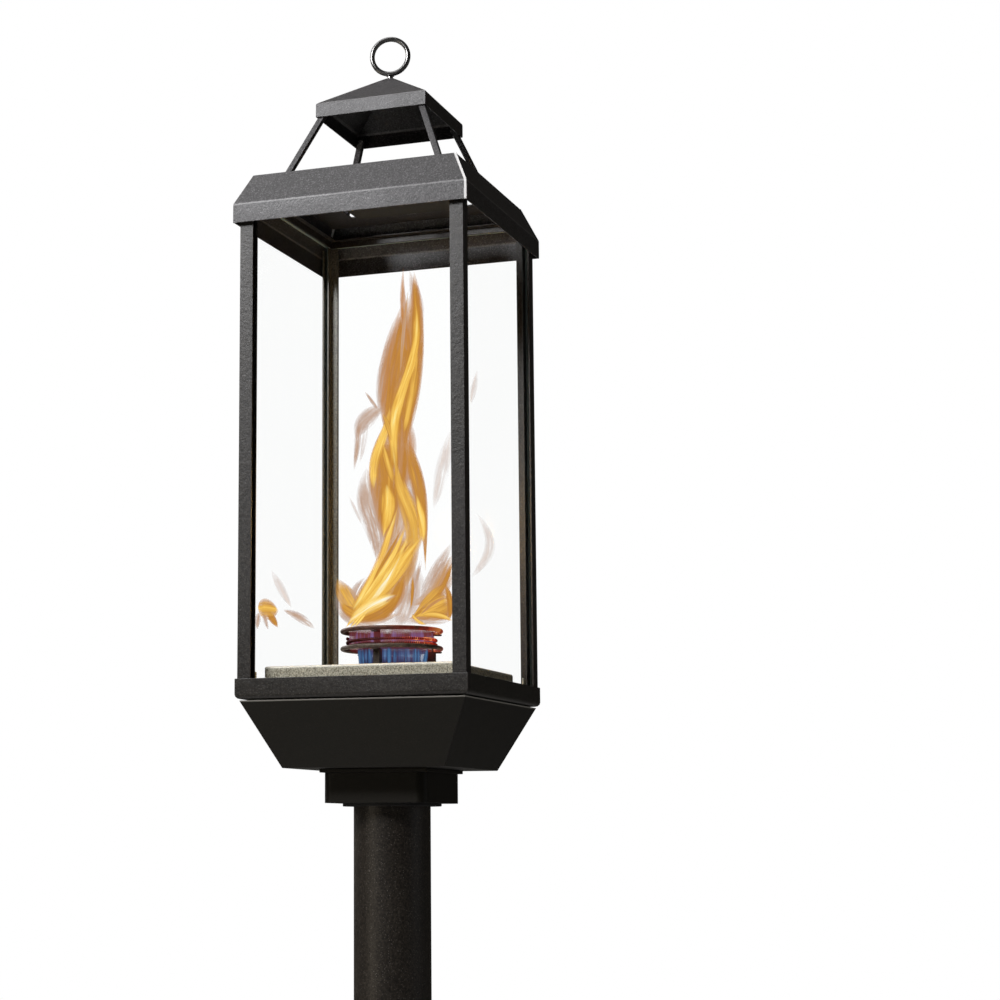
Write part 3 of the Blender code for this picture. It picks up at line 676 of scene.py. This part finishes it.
def lathe(work, profile, steps):
    """Turns a closed profile of (radius, height) about Z."""
    rings = turned_rings(work, profile, steps)
    for here, there in zip(rings, rings[1:] + rings[:1]):
        for j in range(len(profile)):
            k = (j + 1) % len(profile)
            work.faces.new((here[j], there[j], there[k], here[k]))


def spin_solid(work, profile, foot, top, steps):
    """Turns an open profile of (radius, height) about Z and closes it on the axis at foot and top."""
    first, last = work.verts.new((0, 0, foot)), work.verts.new((0, 0, top))
    rings = turned_rings(work, profile, steps)
    for here, there in zip(rings, rings[1:] + rings[:1]):
        work.faces.new((first, there[0], here[0]))
        work.faces.new((last, here[-1], there[-1]))
        for j in range(len(profile) - 1):
            work.faces.new((here[j], there[j], there[j + 1], here[j + 1]))


def sweep(work, points, radius, sides, closed=False):
    """A round wire along points."""
    count = len(points)
    rings = []
    normal = None
    for i, point in enumerate(points):
        before = points[(i - 1) % count] if closed or i else point
        after = points[(i + 1) % count] if closed or i < count - 1 else point
        tangent = (after - before).normalized()
        if normal is None:
            normal = tangent.orthogonal().normalized()
        normal = (normal - tangent * normal.dot(tangent)).normalized()
        other = tangent.cross(normal)
        ring = []
        for j in range(sides):
            turn = 2 * math.pi * j / sides
            ring.append(work.verts.new(point + radius * (math.cos(turn) * normal + math.sin(turn) * other)))
        rings.append(ring)
    for i in range(count if closed else count - 1):
        here, there = rings[i], rings[(i + 1) % count]
        shift = 0
        if closed and i == count - 1:
            shift = min(range(sides), key=lambda k: (there[k].co - here[0].co).length)
        for j in range(sides):
            k = (j + 1) % sides
            work.faces.new((here[j], here[k], there[(k + shift) % sides], there[(j + shift) % sides]))
    if not closed:
        work.faces.new(list(reversed(rings[0])))
        work.faces.new(rings[-1])


def circle(radius, height, count):
    """Points round a level circle about Z."""
    turns = [2 * math.pi * i / count for i in range(count)]
    return [Vector((radius * math.cos(turn), radius * math.sin(turn), height)) for turn in turns]


# ---------------------------------------------------------------- finer pieces in place of CAD nodes
def make_pole():
    """The pole with both of its rims rounded, cut into lengths so that no face is very long."""
    low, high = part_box("pole")
    radius, foot, top = high.x, low.z, high.z
    bore, outer_round, inner_out, inner_up, lengths = radius - 0.003, 0.0008, 0.0004, 0.0006, 24
    side = top - foot - 2 * outer_round
    profile = [(radius - outer_round, foot)]
    profile += [(radius, foot + outer_round + side * i / lengths) for i in range(lengths + 1)]
    profile += [(radius - outer_round, top), (bore + inner_out, top), (bore, top - inner_up)]
    profile += [(bore, foot + inner_up), (bore + inner_out, foot)]
    work = bmesh.new()
    lathe(work, profile, 128)
    add_piece("pole_tube", work, POLE_COAT, "lantern", ("pole",))


def make_hanging_ring():
    """The ring on top, turned a little from the front, and the stud that it is welded to."""
    radius, wire, height, facing, count = 0.0188, 0.00258, BASE + 0.7703, math.radians(12), 96
    points = []
    for i in range(count):
        turn = 2 * math.pi * i / count - math.pi / 2
        flat = radius * math.cos(turn)
        upright = height + radius * math.sin(turn)
        points.append(Vector((flat * math.cos(facing), flat * math.sin(facing), upright)))
    work = bmesh.new()
    sweep(work, points, wire, sides=20, closed=True)
    add_piece("hanging_ring", work, RING_COAT, "hood", ("top_ring",))

    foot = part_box("top_ring")[0].z
    collar = BASE + 0.7485
    top = height - radius - wire * 0.55
    profile = [(0.0026, foot), (0.0030, foot + 0.0004), (0.0030, collar), (0.0042, collar + 0.0005)]
    profile += [(0.0040, collar + 0.0013), (0.0028, collar + 0.0022), (0.0026, top - 0.0004), (0.0022, top)]
    work = bmesh.new()
    spin_solid(work, profile, foot, top, 32)
    add_piece("ring_stud", work, RING_COAT, "hood", ())


def coil_centre(share):
    """Where the heater coil is at a share of its way round, and which way is outwards there."""
    turn = 2 * math.pi * COIL_TURNS * share + COIL_START
    out = Vector((math.cos(turn), math.sin(turn), 0))
    return out * COIL_RADIUS + Vector((0, 0, COIL_FOOT + COIL_RISE * share)), out


def make_burner_rings():
    """The two guard rings, and the heater coil between them: a core with a fine wire wound round it."""
    for name, node, height, finish in (
        ("guard_ring_lower", "burner_ring_lower", LOWER_GUARD, LOWER_RING),
        ("guard_ring_upper", "burner_ring_upper", UPPER_GUARD, UPPER_RING),
    ):
        work = bmesh.new()
        sweep(work, circle(GUARD_RADIUS, height, 144), GUARD_WIRE, sides=20, closed=True)
        add_piece(name, work, finish, "lantern", (node,))

    count = 240
    work = bmesh.new()
    sweep(work, [coil_centre(i / count)[0] for i in range(count + 1)], CORE_WIRE, sides=10)
    add_piece("glow_core", work, COIL_STEEL, "lantern", ("burner_coil",))

    windings, steps = 250, 10
    wound = []
    for i in range(windings * steps + 1):
        centre, out = coil_centre(i / (windings * steps))
        spin = 2 * math.pi * i / steps
        wound.append(centre + WINDING_RADIUS * (math.cos(spin) * out + math.sin(spin) * Vector((0, 0, 1))))
    work = bmesh.new()
    sweep(work, wound, WINDING_WIRE, sides=5)
    add_piece("glow_winding", work, WINDING, "lantern", (), crease=math.pi)


# ---------------------------------------------------------------- flame
FLAME_TURN = math.radians(21)  # the flame's broad side faces this way
ACROSS = Vector((math.cos(FLAME_TURN), math.sin(FLAME_TURN), 0))
DEEP = Vector((-math.sin(FLAME_TURN), math.cos(FLAME_TURN), 0))
TONGUE_TWIST = 16  # degrees, one way at the foot and the other at the tip
TONGUE_RATIO = 0.36  # thickness against width
TONGUE_STEPS = 56
TONGUE_FULLNESS = 0.8  # below 1, a tongue keeps its width nearer to its ends
TONGUE_MARGIN = 1.15  # a tongue's soft sides make it look narrower than it is
THINNEST = 0.5  # mm
JETS = 22  # small flames round the burner
JET_FOOT = 134  # mm
JET_RATIO = 0.5

# Each tongue of gas: its gas, its depth, its foot and its tip as (across, up), its width at the belly,
# the belly's share of the way from foot to tip, its bow to the right on the way up, and its sway, to
# the right in the lower half and to the left in the upper. All in mm, with up measured from the
# collar's underside.
TONGUES = {
    "plume_body": ("ember", 4, (7, 352), (26, 528), 36, 0.42, -4, -1.5),
    "plume_edge": ("ember", 1, (13, 352), (27, 534), 15, 0.6, 3.5, 0),
    "plume_left": ("rust", 3, (-5, 386), (15, 512), 22, 0.42, -3, 0),
    "plume_seam": ("dusk", -3, (9, 424), (18, 522), 3, 0.55, -1, 0),
    "plume_finger": ("ember", -2, (23, 440), (24, 541), 11, 0.45, 2.5, 0),
    "plume_tip": ("rust", -1, (17, 436), (13, 546), 8, 0.35, -0.5, 1.5),
    "plume_haze": ("veil", 6, (27, 470), (19, 544), 12, 0.45, 4, 0),
    "plume_shoulder": ("body", -5, (13, 372), (27, 462), 9, 0.4, 2, 0),
    "plume_ribbon": ("core", -8, (5, 330), (24, 516), 10, 0.36, -0.5, -7),
    "plume_pink": ("veil", 4, (-11, 390), (10, 496), 12, 0.4, -5, 0),
    "left_arm": ("veil", 3, (-9, 400), (-36, 366), 16, 0.45, 5, 0),
    "left_drip_a": ("veil", 4, (-33, 386), (-38, 334), 6, 0.4, -1, 0),
    "left_drip_b": ("smoke", 5, (-25, 386), (-32, 342), 6, 0.4, -1, 0),
    "left_spike": ("veil", 0, (-13, 396), (-27, 416), 3.5, 0.4, 0, 0),
    "left_gold": ("core", -6, (-18, 314), (-1, 399), 9.5, 0.4, -3, -2),
    "cross_gold": ("body", -9, (1, 361), (-9, 392), 5, 0.5, 1, 0),
    "mid_gold": ("body", -7, (2, 320), (-9, 362), 7, 0.4, -0.5, 0),
    "middle_body": ("ember", 0, (-8, 262), (-2, 386), 35, 0.58, 2, 0),
    "right_strand": ("ember", 2, (34, 230), (11, 376), 13, 0.66, 7.5, 0),
    "right_pink": ("veil", 6, (31, 270), (14, 351), 18, 0.6, 3, 0),
    "left_veil": ("veil", 3, (-14, 240), (-25, 338), 20, 0.5, -1.5, 3),
    "left_thread": ("veil", 1, (-15, 242), (-30, 324), 3, 0.5, -3, 2),
    "teardrop": ("core", -10, (-9, 264), (-5, 319), 13, 0.62, 3.5, 0),
    "right_ribbon": ("body", -9, (22, 247), (4, 344), 17, 0.34, 3.5, 2.5),
    "right_ribbon_gold": ("core", -10, (22, 255), (6, 338), 7, 0.45, 4, 2.5),
    "right_gold": ("core", -11, (31, 259), (25, 308), 8, 0.4, 2, 0),
    "lower_mass": ("body", 2, (-40, 177), (24, 283), 32, 0.42, 9, -3),
    "tongue_a": ("core", -9, (-39, 191), (7, 297), 8.5, 0.36, 5.3, 0.8),
    "tongue_b": ("core", -10, (-32, 196), (16, 282), 6.5, 0.36, 4.2, -0.8),
    "tongue_c": ("core", -11, (-12, 206), (31, 266), 9, 0.45, -1.6, 0),
    "tongue_d": ("core", -12, (-42, 177), (17, 267), 12, 0.4, 6, -0.3),
    "shade_a": ("ember", -10, (-27, 208), (12, 276), 3.4, 0.45, 1, 0),
    "shade_b": ("ember", -12, (-15, 214), (23, 264), 2.6, 0.5, -1, 0),
    "shade_c": ("ember", -13, (-30, 195), (10, 250), 2.6, 0.5, 4, 0),
    "white_core": ("white", -15, (-44, 178), (4, 206), 13, 0.55, -3, 0),
    "white_streak": ("white", -14, (-24, 196), (9, 246), 6, 0.4, 3, 0),
    "lower_shade": ("ember", -4, (-9, 186), (12, 228), 12, 0.5, 4, 0),
    "base_lobe": ("ember", -7, (-34, 181), (8, 205), 15, 0.55, 3.5, 0),
    "base_line": ("rust", -16, (-30, 184), (8, 207), 3, 0.5, -1, 0),
    "root_a": ("core", -14, (-46, 173), (-29, 196), 3, 0.5, 0, 0),
    "root_b": ("core", -14, (-42, 173), (-26, 193), 2.4, 0.5, 1, 0),
    "root_c": ("core", -14, (-37, 174), (-23, 191), 2.6, 0.5, 0, 0),
    "middle_veil": ("veil", 8, (7, 177), (19, 248), 22, 0.42, 4, 0),
    "middle_mist": ("smoke", 9, (20, 181), (26, 240), 18, 0.4, 3, 0),
    "middle_thread": ("ember", 0, (19, 193), (21, 228), 3, 0.5, 1, 0),
    "stray_veil": ("veil", 7, (22, 209), (31, 248), 4, 0.5, 0, 0),
    "left_lobe": ("body", 6, (-30, 184), (-55, 225), 17, 0.5, -1.5, 0),
    "left_low": ("smoke", 7, (-35, 178), (-53, 216), 15, 0.45, -4, 0),
    "left_pink": ("veil", 5, (-40, 191), (-26, 226), 11, 0.5, -3, 0),
    "right_lobe": ("ember", 6, (16, 183), (62, 207), 26, 0.66, 2, 0),
    "right_fill": ("body", 1, (22, 185), (61, 203), 22, 0.68, 1, 0),
    "right_low": ("veil", 7, (17, 182), (62, 183), 9, 0.5, 0, 0),
    "right_arc": ("body", -4, (20, 183), (54, 219), 6, 0.6, -2, 0),
    "right_crease": ("rust", -6, (28, 186), (56, 206), 2.6, 0.5, -2, 0),
    "right_fan": ("body", -3, (30, 187), (61, 181), 6, 0.5, -3, 0),
    "right_edge": ("ember", -2, (57, 180), (53, 220), 6, 0.5, 3.5, 0),
    "right_root": ("core", -5, (20, 188), (35, 177), 3.4, 0.5, 2.4, 0),
    "right_tall": ("dusk", 8, (36, 194), (62, 250), 12, 0.4, 1, 0),
    "right_tall_gold": ("ember", 6, (41, 200), (62, 242), 7, 0.4, 1, 0),
    "right_tall_pink": ("veil", 12, (29, 196), (61, 262), 15, 0.45, 0, 0),
    "ring_mist": ("smoke", -20, (-15, 177), (30, 177), 8, 0.5, -3, 0),
    "ring_haze": ("veil", 10, (-54, 192), (-10, 177), 9, 0.4, 5, 0),
    "inner_dusk": ("dusk", 9, (-12, 222), (6, 320), 24, 0.55, 5, 0),
    "neck_dusk": ("rust", 8, (17, 314), (15, 396), 23, 0.55, -3, 0),
    "left_dusk": ("dusk", 5, (-9, 262), (-25, 338), 11, 0.55, 3.5, 0),
    "base_dusk": ("dusk", 7, (-54, 198), (10, 190), 12, 0.35, 10, 0),
    "left_amber": ("ember", 5, (-53, 200), (-16, 183), 13, 0.5, 3, 0),
    "right_dusk": ("dusk", 9, (17, 197), (62, 233), 16, 0.6, 6, 0),
    # the four wisps are painted reflections of the flame in the glass, made as faint glowing tongues
    "wisp_left": ("smoke", 0, (-30, 279), (-43, 308), 3.5, 0.5, 0, 0),
    "wisp_right": ("smoke", 10, (43, 295), (61, 379), 13, 0.5, 0, 0),
    "wisp_hook": ("smoke", 0, (80, 225), (86, 291), 10, 0.45, 16, 0),
    "wisp_high": ("smoke", 0, (81, 402), (88, 438), 6, 0.45, 0, 0),
}
# Painted reflections of the flame in the left pane, made as small glowing tongues: gas, foot and tip as
# (across, up, depth), then the rest as above.
PANE_REFLECTIONS = {
    "pane_glow": ("body", (-131, 188, -60), (-113, 190, -16), 19, 0.4, 0, 0),
    "pane_drip_a": ("ember", (-122, 186, -38), (-113, 172, -26), 6, 0.4, 0, 0),
    "pane_drip_b": ("veil", (-131, 184, -62), (-132, 166, -66), 5, 0.4, 0, 0),
    "pane_drip_c": ("veil", (-127, 184, -50), (-122, 168, -44), 4, 0.4, 0, 0),
    "pane_streak_a": ("smoke", (-101, 196, 15), (-120, 229, -32), 8, 0.5, 0, 0),
    "pane_streak_b": ("veil", (-109, 192, -4), (-78, 180, 74), 8, 0.5, -2, 0),
}


def tongue_line(foot, tip, width, belly, bow, sway):
    """Points along a tongue as (across, up, depth, width) in mm. foot and tip are (across, up, depth)."""
    run = Vector((tip[0] - foot[0], tip[1] - foot[1]))
    right = Vector((run.y, -run.x)).normalized()
    swell = math.log(0.5) / math.log(belly)
    line = []
    for i in range(TONGUE_STEPS + 1):
        share = i / TONGUE_STEPS
        bend = bow * math.sin(math.pi * share) + sway * math.sin(2 * math.pi * share)
        line.append((
            foot[0] + run.x * share + right.x * bend,
            foot[1] + run.y * share + right.y * bend,
            foot[2] + (tip[2] - foot[2]) * share,
            width * max(math.sin(math.pi * share**swell), 0) ** TONGUE_FULLNESS,
        ))
    return line


def gas_mesh():
    """A new bmesh with the two layers that the gas materials read."""
    work = bmesh.new()
    layers = work.verts.layers.float_vector
    return work, layers.new("flow"), layers.new("streak")


def make_tongue(name, gas, line, twist, ratio=TONGUE_RATIO, sides=20):
    """A lens-shaped tongue along a line: closed, thin at its sides, tapering to a point at both ends."""
    centres = [
        ACROSS * (across * MM) + DEEP * (depth * MM) + Vector((0, 0, BASE + up * MM))
        for across, up, depth, _ in line
    ]
    lengths = [0.0]
    for a, b in zip(centres, centres[1:]):
        lengths.append(lengths[-1] + (b - a).length)
    total = lengths[-1]
    # a number from the name gives each tongue streaks of its own
    pattern = sum(ord(letter) * (i + 3) for i, letter in enumerate(name)) % 97 * 1.7
    work, flow, streak = gas_mesh()
    rings = []
    for i in range(1, len(line) - 1):
        share = lengths[i] / total
        tangent = (centres[i + 1] - centres[i - 1]).normalized()
        turn = math.radians(twist[0] + (twist[1] - twist[0]) * share)
        facing = -(DEEP * math.cos(turn) + ACROSS * math.sin(turn))
        side = tangent.cross(facing).normalized()
        front = side.cross(tangent).normalized()
        half = TONGUE_MARGIN * max(line[i][3], THINNEST) * MM / 2 / max(math.cos(turn), 0.5)
        ring = []
        for j in range(sides):
            angle = 2 * math.pi * j / sides
            u = math.cos(angle)
            vert = work.verts.new(centres[i] + side * (half * u) + front * (half * ratio * math.sin(angle)))
            vert[flow] = Vector((u, share, 0))
            vert[streak] = Vector((half * u, lengths[i], pattern))
            ring.append(vert)
        rings.append(ring)
    for here, there in zip(rings, rings[1:]):
        for j in range(sides):
            k = (j + 1) % sides
            work.faces.new((here[j], here[k], there[k], there[j]))
    for centre, ring, share in ((centres[0], rings[0], 0.0), (centres[-1], rings[-1], 1.0)):
        tip = work.verts.new(centre)
        tip[flow] = Vector((0, share, 0))
        tip[streak] = Vector((0, total * share, pattern))
        for j in range(sides):
            work.faces.new((ring[j], ring[(j + 1) % sides], tip))
    add_piece("flame_" + name, work, GASES[gas], "lantern", crease=math.pi)


def make_gas_ring(name, gas, radius, low, high):
    """A standing ring of gas round the lantern's axis, streaked upwards."""
    half, middle, thick, steps, sides = (high - low) / 2, (high + low) / 2, 0.0022, 96, 12
    work, flow, streak = gas_mesh()
    rings = []
    for i in range(steps):
        turn = 2 * math.pi * i / steps
        out = Vector((-math.sin(turn), math.cos(turn), 0))
        ring = []
        for j in range(sides):
            angle = 2 * math.pi * j / sides
            u = math.cos(angle)
            height = BASE + middle + half * u
            vert = work.verts.new(out * (radius + thick * math.sin(angle)) + Vector((0, 0, height)))
            vert[flow] = Vector((u, 0.5, 0))
            vert[streak] = Vector((radius * turn, half * u, radius * 100))
            ring.append(vert)
        rings.append(ring)
    for here, there in zip(rings, rings[1:] + rings[:1]):
        for j in range(sides):
            k = (j + 1) % sides
            work.faces.new((here[j], there[j], there[k], here[k]))
    add_piece("flame_" + name, work, GASES[gas], "lantern", crease=math.pi)


def make_flame():
    """The tall flame, the painted reflections of it on the left pane, the gas round the burner and its small
    jets.
    """
    for i, (name, (gas, depth, foot, tip, *shape)) in enumerate(TONGUES.items()):
        twist = (-TONGUE_TWIST, TONGUE_TWIST) if i % 2 else (TONGUE_TWIST, -TONGUE_TWIST)
        make_tongue(name, gas, tongue_line((*foot, depth), (*tip, depth), *shape), twist)
    for name, (gas, foot, tip, *shape) in PANE_REFLECTIONS.items():
        make_tongue(name, gas, tongue_line(foot, tip, *shape), (0, 0))
    make_gas_ring("ring_violet", "violet", 0.0405, 0.150, 0.1735)
    make_gas_ring("ring_blue", "blue", 0.0312, 0.1325, 0.1560)
    random.seed(11)
    for i in range(JETS):
        around = 2 * math.pi * (i + random.uniform(-0.3, 0.3)) / JETS
        out = random.uniform(30, 33)
        lean = random.uniform(1.0, 1.15)
        foot = (out * math.cos(around), JET_FOOT, out * math.sin(around))
        tip = (foot[0] * lean, JET_FOOT + random.uniform(16, 24), foot[2] * lean)
        line = tongue_line(foot, tip, random.uniform(2, 5), 0.45, 0, 0)
        twist = (random.uniform(-40, 40), random.uniform(-40, 40))
        make_tongue(f"jet_{i:02d}", "jet", line, twist, JET_RATIO, sides=12)


# ---------------------------------------------------------------- the whole
def make_floor():
    """A wide disc just under the pole's foot."""
    work = bmesh.new()
    bmesh.ops.create_circle(work, cap_ends=True, cap_tris=False, segments=96, radius=FLOOR_RADIUS)
    for vert in work.verts:
        vert.co.z = -FLOOR_DROP
    mesh = bpy.data.meshes.new("floor")
    work.to_mesh(mesh)
    work.free()
    floor = bpy.data.objects.new("floor", mesh)
    floor.data.materials.append(floor_paint())
    collection.objects.link(floor)


make_camera()
make_world()
make_lights()
make_floor()
dress_nodes()
make_pole()
make_hanging_ring()
make_burner_rings()
make_flame()
